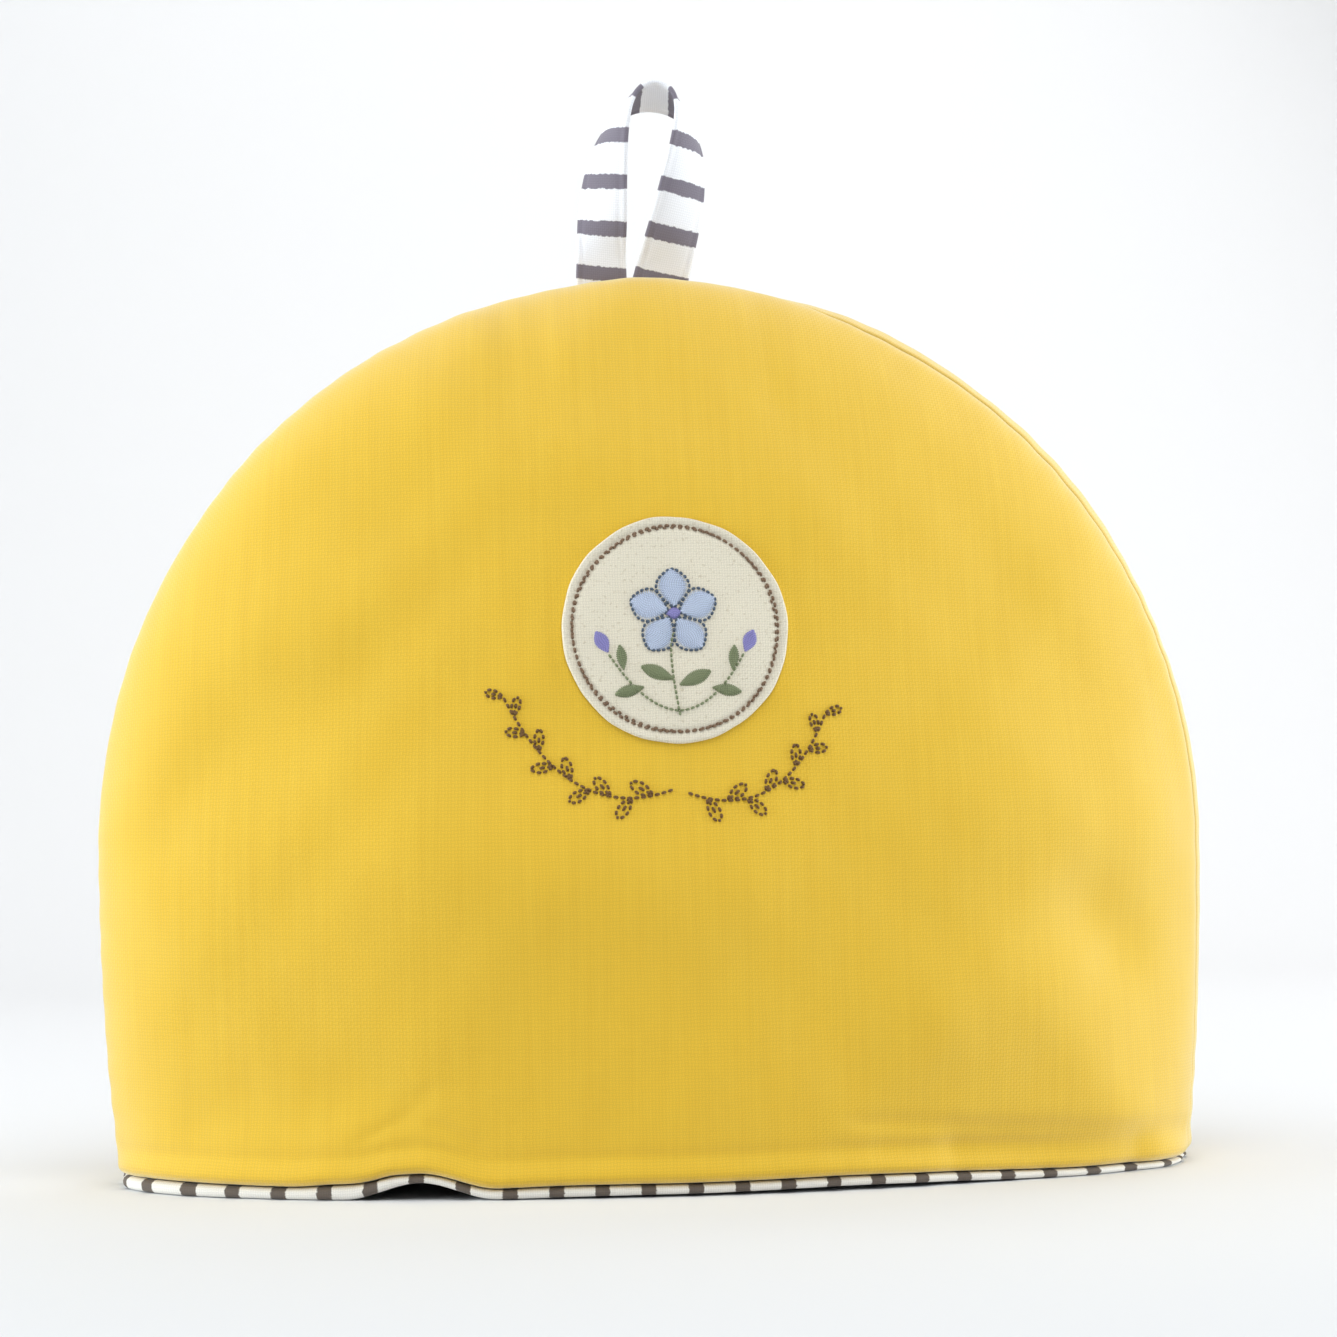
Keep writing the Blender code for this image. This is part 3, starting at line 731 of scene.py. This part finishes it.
def patch_height(x, z):
    """How far the patch's face is out from the cloth: its thickness, rounded off at its edge and puffed out
    away from the stitched ring, with waves that are a product of two sines, less a bell across the ring."""
    radius = np.hypot(x - PATCH_X, z - PATCH_Z)
    edge = patch_edge(np.arctan2(z - PATCH_Z, x - PATCH_X))
    face = CLEARANCE + PATCH_THICKNESS * rounded_edge(edge - radius, PATCH_EDGE_ROUND, PATCH_EDGE_THIN)
    height, across, up = PATCH_WAVES
    face += height * np.sin(x / across + 1) * np.sin(z / up)
    puff, puff_reach = PATCH_PUFF
    face += puff * (1 - bell(radius - RING_RADIUS, puff_reach))
    depth, reach = RING_SINKS
    return face - depth * bell(radius - RING_RADIUS, reach)


def make_patch(finishes):
    """The round patch, bent to the front and lying on it: rings of points about its middle."""
    share = np.sin(np.linspace(0, np.pi / 2, PATCH_STEPS[0] + 1))
    angle = 2 * np.pi * np.arange(PATCH_STEPS[1] + 1) / PATCH_STEPS[1]
    share, angle = np.meshgrid(share, angle, indexing="ij")
    radius = share * patch_edge(angle)
    x = PATCH_X + radius * np.cos(angle)
    z = PATCH_Z + radius * np.sin(angle)
    flat = np.stack([x, z], axis=-1)
    over = on_front(x, z, patch_height(x, z))
    under = on_front(x, z, np.full_like(x, CLEARANCE))
    return two_sided_piece("round_patch", over, under, (np.s_[-1, :],), flat, finishes)


def along_path(path, step):
    """Points at even steps along a path of points."""
    runs = np.concatenate([[0], np.cumsum(np.linalg.norm(np.diff(path, axis=0), axis=-1))])
    count = max(int(round(runs[-1] / step)), 1)
    even = np.linspace(0, runs[-1], count + 1)
    return np.stack([np.interp(even, runs, path[:, axis]) for axis in (0, 1)], axis=-1)


def running_stitches(path, stitch):
    """Stitches end to end along a path: pairs of ends, each drawn in by half the stitch's gap."""
    step, gap = stitch.step * MM, stitch.gap * MM
    ends = along_path(path, step)
    run = ends[1:] - ends[:-1]
    run = run / np.linalg.norm(run, axis=-1, keepdims=True) * gap / 2
    return np.stack([ends[:-1] + run, ends[1:] - run], axis=1)


def heading(degrees):
    """The unit vector at an angle."""
    return np.array([np.cos(np.radians(degrees)), np.sin(np.radians(degrees))])


def leaf_sides(base, angle, length, width):
    """The two sides of a leaf or petal: its half width is half of width times the sine of the way along,
    to the power 0.8. The way is to the power 1.15, so that it is widest a little past the middle."""
    way = np.linspace(0, 1, 40)
    half = width / 2 * np.sin(np.pi * way**1.15) ** 0.8
    middle = np.array(base) + way[:, None] * length * heading(angle)
    aside = half[:, None] * heading(angle + 90)
    return middle + aside, middle - aside


def satin_stitches(sides, step):
    """Stitches from side to side of a leaf or petal, set close, each a little ahead on its second side."""
    one, two = sides
    length = np.linalg.norm(one[-1] - one[0])
    count = max(int(length / (step * MM)), 3)
    way = np.linspace(*SATIN_FROM_TO, count)
    places = np.linspace(0, 1, len(one))
    ends = []
    for side, shift in ((one, 0.0), (two, SATIN_SLANTS)):
        ends.append(np.stack([np.interp(way + shift, places, side[:, axis]) for axis in (0, 1)], axis=-1))
    return np.stack(ends, axis=1)


def outline_stitches(sides, stitch):
    """Stitches round a leaf or petal."""
    one, two = sides
    return running_stitches(np.concatenate([one, two[::-1]]), stitch)


def leaf_vein(sides):
    """The line between a leaf's two sides, over the first two thirds of its length."""
    one, two = sides
    return (one + two)[: len(one) * 2 // 3] / 2


def make_thread_work(name, stitches, radius, ground, finish):
    """Thread on the front, of a radius in millimetres: each stitch is a rod whose ends dip into the cloth.

    Along a stitch its height over the ground is a half sine, and its radius is the sine to the power 0.3.
    """
    radius = radius * MM
    rings, sides = STITCH_STEPS
    way = np.linspace(STITCH_FROM, 1 - STITCH_FROM, rings)[None, :, None]
    around = 2 * np.pi * np.arange(sides + 1)[None, None, :] / sides
    start, run = stitches[:, 0], stitches[:, 1] - stitches[:, 0]
    length = np.linalg.norm(run, axis=-1)
    ahead = run / length[:, None]
    thick = radius * np.sin(np.pi * way) ** 0.3
    aside = thick * np.cos(around)
    up = thick * np.sin(around) + radius * (STITCH_RISES * np.sin(np.pi * way) - STITCH_SINKS)
    x = start[:, 0, None, None] + run[:, 0, None, None] * way - ahead[:, 1, None, None] * aside
    z = start[:, 1, None, None] + run[:, 1, None, None] * way + ahead[:, 0, None, None] * aside
    points = on_front(x, z, ground(x, z) + up)
    one = grid_faces(rings, sides + 1, 0)
    count = rings * (sides + 1)
    faces = (one[None] + count * np.arange(len(stitches))[:, None, None]).reshape(-1, 4)
    flat = np.broadcast_arrays(length[:, None, None] * way / MM, around / (2 * np.pi))
    return make_piece(name, points.reshape(-1, 3), faces, np.stack(flat, axis=-1).reshape(-1, 2), [finish])


def linear(hex_colour):
    """An sRGB hex colour as linear light."""
    share = np.array([int(hex_colour[place : place + 2], 16) for place in (1, 3, 5)]) / 255
    light = np.where(share <= 0.04045, share / 12.92, ((share + 0.055) / 1.055) ** 2.4)
    return (*light.tolist(), 1.0)


def add_node(tree, kind, sockets, **settings):
    """A shader node with its settings. sockets gives each input a value, the output that feeds it, or the
    node whose first output does."""
    made = tree.nodes.new(f"ShaderNode{kind}")
    for setting, value in settings.items():
        setattr(made, setting, value)
    for socket, value in sockets.items():
        if isinstance(value, bpy.types.Node):
            value = value.outputs[0]
        if isinstance(value, bpy.types.NodeSocket):
            tree.links.new(value, made.inputs[socket])
        else:
            made.inputs[socket].default_value = value
    return made


def new_finish(name):
    """An empty material, the tree to build on, and its shader."""
    finish = bpy.data.materials.new(name)
    finish.use_nodes = True
    tree = finish.node_tree
    return finish, tree, tree.nodes["Principled BSDF"]


def new_cloth(name):
    """An empty material, the tree to build on, its shader, and the place on the flat cloth."""
    finish, tree, shader = new_finish(name)
    return finish, tree, shader, add_node(tree, "UVMap", {}, uv_map="flat_cloth")


def woven(tree, place, thread):
    """The height of a plain weave, from 0 to 1: a checker picks the warp or the weft thread that lies on
    top, and each thread is a sine across. Noise makes the threads wander."""
    spots = {"Vector": place, "Scale": THREAD_STRAY_SPOTS / thread, "Detail": 2.0}
    stray = {0: add_node(tree, "TexNoise", spots).outputs["Color"], 1: (0.5, 0.5, 0.5)}
    stray = add_node(tree, "VectorMath", stray, operation="SUBTRACT")
    stray = add_node(tree, "VectorMath", {0: stray, 3: thread * THREAD_STRAYS}, operation="SCALE")
    moved = add_node(tree, "VectorMath", {0: place, 1: stray}, operation="ADD")
    threads = add_node(tree, "VectorMath", {0: moved, 3: 1 / thread}, operation="SCALE")
    threads = add_node(tree, "VectorMath", {0: threads, 1: (1, 1, 0)}, operation="MULTIPLY")
    on_top = add_node(tree, "TexChecker", {"Vector": threads, "Scale": 1.0})
    one_wave = {"Vector": threads, "Scale": np.pi / 10}  # Blender's wave has 20 radians a unit
    warp = add_node(tree, "TexWave", one_wave, bands_direction="X")
    weft = add_node(tree, "TexWave", one_wave, bands_direction="Y")
    layers = {"Factor": on_top.outputs["Fac"], 2: warp.outputs["Fac"], 3: weft.outputs["Fac"]}
    return add_node(tree, "Mix", layers, data_type="FLOAT")


def finish_cloth(tree, shader, colour, normal, height, shades, roughness, sheen):
    """The last steps of every cloth: its colour's brightness runs with the weave's height from the first of
    shades to the second, and it is matt, with a sheen from its fibres."""
    shade = add_node(tree, "MapRange", {0: height, 1: 0.0, 2: 1.0, 3: shades[0], 4: shades[1]})
    colour = add_node(tree, "VectorMath", {0: colour, 3: shade}, operation="SCALE")
    tree.links.new(colour.outputs[0], shader.inputs["Base Color"])
    tree.links.new(normal.outputs[0], shader.inputs["Normal"])
    shader.inputs["Roughness"].default_value = roughness
    shader.inputs["Specular IOR Level"].default_value = CLOTH_SPECULAR
    shader.inputs["Sheen Weight"].default_value = sheen


def mustard_cloth():
    """Brushed linen and cotton, woven and dyed mustard: matt, with a pale bloom at the edges, where its
    short fibres catch the light, faint upright streaks of thicker yarn, and at the seam a painted shade, a
    dark line in the groove, and a painted highlight, a pale edge on the back."""
    finish, tree, shader, place = new_cloth("mustard_linen_cotton")
    height = woven(tree, place, MUSTARD_THREAD)
    drawn_out = add_node(tree, "Mapping", {"Vector": place, "Scale": (1.0, YARN_DRAWN_OUT, 1.0)})
    yarn = add_node(tree, "TexNoise", {"Vector": drawn_out, "Scale": YARN_SPOTS, "Detail": 3.0})
    thick = add_node(tree, "MapRange", {0: yarn, 1: NOISE_LOW, 2: NOISE_HIGH, 3: 0.0, 4: 1.0})
    dye = add_node(tree, "TexNoise", {"Vector": place, "Scale": DYE_SPOTS, "Detail": 3.0})
    dyed = add_node(tree, "MapRange", {0: dye, 1: NOISE_LOW, 2: NOISE_HIGH, 3: 0.0, 4: 0.35})
    # Painted light at the seam: painted shade in the groove, in dark brown, and a painted highlight along
    # the back's edge, in pale cream
    seam = add_node(tree, "UVMap", {}, uv_map="seam_painted_light")
    seam = add_node(tree, "SeparateXYZ", {0: seam}).outputs
    highlight = add_node(tree, "Math", {0: seam[1], 1: 0.26}, operation="MULTIPLY")
    dark = add_node(tree, "Math", {0: seam[0], 1: 0.8}, operation="MULTIPLY")
    colour = linear("#E5B91C")
    for share, tint in ((thick, "#E9BE22"), (dyed, "#E7BB24"), (highlight, "#F6E9BE"), (dark, "#7B5C30")):
        tinted = {"Factor": share, 6: colour, 7: linear(tint)}
        colour = add_node(tree, "Mix", tinted, data_type="RGBA").outputs[2]
    fuzz = add_node(tree, "TexNoise", {"Vector": place, "Scale": FUZZ_SPOTS, "Detail": 2.0})
    fuzzy = add_node(tree, "Math", {0: fuzz, 1: 0.35, 2: height}, operation="MULTIPLY_ADD")
    normal = add_node(tree, "Bump", {"Height": fuzzy, "Strength": 0.35, "Distance": 0.12 * MM})
    streaked = {"Height": yarn, "Strength": 0.15, "Distance": 0.10 * MM, "Normal": normal}
    normal = add_node(tree, "Bump", streaked)
    finish_cloth(tree, shader, colour, normal, height, (0.90, 1.03), roughness=0.88, sheen=0.58)
    shader.inputs["Sheen Roughness"].default_value = 0.58
    shader.inputs["Sheen Tint"].default_value = linear("#EDFDFF")
    return finish


def striped_cotton(name, ground, stripe):
    """Plain woven white cotton with dark stripes woven across it: matt, the stripes a soft brown-violet."""
    finish, tree, shader, place = new_cloth(name)
    height = woven(tree, place, STRIPED_THREAD)
    waver = add_node(tree, "TexNoise", {"Vector": place, "Scale": STRIPE_EDGE_SPOTS, "Detail": 2.0})
    waver = {0: waver, 1: NOISE_LOW, 2: NOISE_HIGH, 3: -STRIPE_WAVERS, 4: STRIPE_WAVERS}
    waver = add_node(tree, "MapRange", waver)
    run = add_node(tree, "SeparateXYZ", {0: place})
    run = add_node(tree, "Math", {0: run, 1: waver}, operation="ADD")
    off = add_node(tree, "Math", {0: run, 1: STRIPE_PITCH / 2}, operation="PINGPONG")
    edge = {0: off, 1: STRIPE_WIDTH / 2 + STRIPE_BLUR, 2: STRIPE_WIDTH / 2 - STRIPE_BLUR, 3: 0.0, 4: 1.0}
    dark = add_node(tree, "MapRange", edge, interpolation_type="SMOOTHSTEP")
    colour = {"Factor": dark, 6: linear(ground), 7: linear(stripe)}
    colour = add_node(tree, "Mix", colour, data_type="RGBA").outputs[2]
    normal = add_node(tree, "Bump", {"Height": height, "Strength": 0.4, "Distance": 0.1 * MM})
    finish_cloth(tree, shader, colour, normal, height, (0.88, 1.02), roughness=0.85, sheen=0.15)
    return finish


def cream_calico():
    """Unbleached cotton calico: cream, matt, with a few darker flecks and an even weave."""
    finish, tree, shader, place = new_cloth("cream_calico")
    height = woven(tree, place, CALICO_THREAD)
    fleck = add_node(tree, "TexNoise", {"Vector": place, "Scale": FLECK_SPOTS, "Detail": 2.0})
    fleck = add_node(tree, "MapRange", {0: fleck, 1: 0.58, 2: 0.72, 3: 0.0, 4: 0.5})
    colour = {"Factor": fleck, 6: linear("#E6DFCB"), 7: linear("#BFB193")}
    colour = add_node(tree, "Mix", colour, data_type="RGBA").outputs[2]
    normal = add_node(tree, "Bump", {"Height": height, "Strength": 0.45, "Distance": 0.12 * MM})
    finish_cloth(tree, shader, colour, normal, height, (0.86, 1.03), roughness=0.88, sheen=0.15)
    return finish


def sewing_thread(name, colour):
    """Two-ply cotton thread: a little glossier than cloth, with the ply's slanting turns as fine shade."""
    finish, tree, shader, place = new_cloth(name)
    ply = {"Vector": place, "Scale": PLY_SCALE, "Distortion": 0.4}
    ply = add_node(tree, "TexWave", ply, bands_direction="DIAGONAL").outputs["Fac"]
    dull = [channel * PLY_DULL for channel in linear(colour)[:3]] + [1.0]
    shade = add_node(tree, "Mix", {"Factor": ply, 6: dull, 7: linear(colour)}, data_type="RGBA")
    normal = add_node(tree, "Bump", {"Height": ply, "Strength": 0.3, "Distance": 0.05 * MM})
    tree.links.new(shade.outputs[2], shader.inputs["Base Color"])
    tree.links.new(normal.outputs[0], shader.inputs["Normal"])
    shader.inputs["Roughness"].default_value = 0.6
    shader.inputs["Sheen Weight"].default_value = 0.1
    return finish


def ring_stitches(row):
    """A row of stitches in the patch's ring: its radius is uneven by a sine round it."""
    angle = np.linspace(0, 2 * np.pi, 120)
    radius = RING_RADIUS * (row.size + row.uneven * np.sin(row.waves * angle + row.shift))
    path = PATCH_MIDDLE + np.stack([radius * np.cos(angle), radius * np.sin(angle)], axis=-1)
    return running_stitches(path, row.stitch)


def bent_line(*corners):
    """A smooth curve through corners: each coordinate is the polynomial through them, over the way."""
    corners = np.array(corners)
    knots = np.linspace(0, 1, len(corners))
    way = np.linspace(0, 1, 60)
    columns = [np.polyval(np.polyfit(knots, corners[:, axis], len(corners) - 1), way) for axis in (0, 1)]
    return np.stack(columns, axis=-1)


def placed_leaf(leaf):
    """The two sides of a leaf, bud or petal of the posy."""
    base = PATCH_MIDDLE + np.array(leaf.base) * MM
    return leaf_sides(base, leaf.angle, leaf.length * MM, leaf.width * MM)


def petal(angle):
    """A petal that points away from the flower's middle."""
    base = FLOWER + PETAL_FROM_MIDDLE * heading(angle)
    return placed_leaf(Leaf(base, angle, PETAL_LENGTH, PETAL_WIDTH))


def patch_work(finishes):
    """The stitching on the patch: a ring beside its edge, and a posy of a flower, two buds and leaves."""
    petals = [petal(angle) for angle in PETALS]
    leaves = [satin_stitches(placed_leaf(leaf), LEAF_SATIN) for leaf in PATCH_LEAVES]
    stems = [running_stitches(PATCH_MIDDLE + bent_line(*stem) * MM, STEM_STITCH) for stem in PATCH_STEMS]
    buds = [satin_stitches(placed_leaf(bud), BUD_SATIN) for bud in PATCH_BUDS]
    work = {
        "brown": [ring_stitches(row) for row in RING_ROWS],
        "pale_blue": [satin_stitches(sides, LEAF_SATIN) for sides in petals],
        "slate": [outline_stitches(sides, PETAL_STITCH) for sides in petals],
        "green": leaves + stems,
        "violet": buds + [satin_stitches(placed_leaf(FLOWER_MIDDLE), MIDDLE_SATIN)],
    }
    pieces = []
    for colour, rows in work.items():
        name, stitches = f"patch_thread_{colour}", np.concatenate(rows)
        radius, finish = THREAD_RADIUS[colour], finishes[colour]
        pieces.append(make_thread_work(name, stitches, radius, patch_height, finish))
    return pieces


def no_height(x, z):
    """The bare cloth's height over itself."""
    return np.zeros_like(x)


def twig_work(finish):
    """Two leafy twigs in back stitch on the front, below the patch."""
    rows = []
    for twig in TWIGS:
        stem = PATCH_MIDDLE + bent_line(*twig) * MM
        rows.append(running_stitches(stem, TWIG_STITCH))
        joints = along_path(stem, TWIG_LEAF_STEP * MM)
        ahead = np.degrees(np.arctan2(*np.diff(joints, axis=0).T[::-1]))
        for number, (joint, angle) in enumerate(zip(joints[1:], ahead)):
            side = TWIG_LEAF_ANGLE if number % 2 else -TWIG_LEAF_ANGLE
            shrink = MM * (1 - TWIG_LEAF_SHRINKS * number / len(ahead))
            sides = leaf_sides(joint, angle + side, TWIG_LEAF_LENGTH * shrink, TWIG_LEAF_WIDTH * shrink)
            rows.append(outline_stitches(sides, TWIG_LEAF_STITCH))
            rows.append(running_stitches(leaf_vein(sides), TWIG_VEIN_STITCH))
    stitches = np.concatenate(rows)
    return make_thread_work("front_thread_twigs", stitches, THREAD_RADIUS["twigs"], no_height, finish)


def make_stage():
    """A plain pale floor that sweeps up behind: a flat run, a quarter circle and an upright run."""
    near, bend_from, bend, tall, half = -2.5, 0.9, 0.9, 3.2, 3.0
    angle = np.linspace(0, np.pi / 2, 24)
    y = np.concatenate([[near], bend_from + bend * np.sin(angle), [bend_from + bend]])
    z = np.concatenate([[0], bend * (1 - np.cos(angle)), [tall]])
    left = np.stack([np.full_like(y, -half), y, z], axis=-1)
    right = np.stack([np.full_like(y, half), y, z], axis=-1)
    points = np.concatenate([left, right])
    number = np.arange(len(y))
    faces = strip_faces(number, number + len(y))[:, ::-1]
    mesh = bpy.data.meshes.new("floor")
    mesh.from_pydata(points.tolist(), [], faces.tolist())
    mesh.shade_smooth()
    finish, _, shader = new_finish("white_paper")
    shader.inputs["Base Color"].default_value = linear("#DFE1E4")
    shader.inputs["Roughness"].default_value = 0.9
    shader.inputs["Specular IOR Level"].default_value = 0.1
    mesh.materials.append(finish)
    floor = bpy.data.objects.new("floor", mesh)
    bpy.context.scene.collection.objects.link(floor)


def aim(thing, place, target):
    """Puts a thing at a place, looking at a target."""
    thing.location = place
    thing.rotation_euler = (Vector(target) - Vector(place)).to_track_quat("-Z", "Y").to_euler()


def light_scene():
    """Plain soft studio light under a white sky: boxes low on both sides, one higher on the left, one
    above the front, a weak one behind and one on the backdrop."""
    for light in LIGHTS:
        lamp = bpy.data.lights.new(light.name, "AREA")
        lamp.energy = light.watts
        lamp.size = light.size
        lamp.color = linear(light.colour)[:3]
        thing = bpy.data.objects.new(light.name, lamp)
        bpy.context.scene.collection.objects.link(thing)
        aim(thing, light.place, light.target)
    world = bpy.data.worlds.new("white_studio")
    world.use_nodes = True
    sky = world.node_tree.nodes["Background"]
    sky.inputs["Color"].default_value = linear("#FFFFFF")
    sky.inputs["Strength"].default_value = 0.22
    bpy.context.scene.world = world


def place_camera():
    """The photograph's camera."""
    camera = bpy.data.cameras.new("camera")
    camera.lens = CAMERA_LENS
    camera.sensor_width = SENSOR
    thing = bpy.data.objects.new("camera", camera)
    bpy.context.scene.collection.objects.link(thing)
    looks = Vector(CAMERA_LOOKS).to_track_quat("-Z", "Y").to_matrix()
    roll = Matrix.Rotation(np.radians(CAMERA_ROLL), 3, "Z")
    thing.location = CAMERA_AT
    thing.rotation_euler = (looks @ roll).to_euler()
    bpy.context.scene.camera = thing


def main():
    scene = bpy.context.scene
    scene.view_settings.view_transform = "Standard"
    place_camera()
    light_scene()
    make_stage()

    mustard, cream = mustard_cloth(), cream_calico()
    striped = striped_cotton("striped_woven_cotton", "#F6F3EC", "#6B6159")
    # The loop's stripes look paler in the photo than the hem's
    # Painted light: a paler copy of the striped cotton, lighter stripes on a cooler white, which stands in
    # for the brighter light on the loop
    loop_lit_striped = striped_cotton("loop_lit_striped_cotton", "#F5F6FB", "#7F7985")
    threads = {
        "brown": sewing_thread("brown_thread", "#7E6248"),
        "pale_blue": sewing_thread("pale_blue_thread", "#C6D3EA"),
        "slate": sewing_thread("slate_thread", "#4B5B6E"),
        "green": sewing_thread("grey_green_thread", "#7E8862"),
        "violet": sewing_thread("violet_thread", "#8D88C6"),
    }
    twig_thread = sewing_thread("dark_mustard_thread", "#6F4B12")

    for panel in ("front", "back"):
        piece = make_panel(panel, [mustard, striped])
        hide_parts(f"{panel}_panel")
        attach(piece, "root")

    hem = make_hem_edge([striped])
    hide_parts("hem_band")
    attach(hem, "root")

    loop = make_loop([loop_lit_striped])
    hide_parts("loop")
    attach(loop, "root")

    patch = make_patch([cream])
    work = patch_work(threads)
    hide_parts("badge")
    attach(patch, "root")
    for piece in (*work, twig_work(twig_thread)):
        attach(piece, "root")


main()
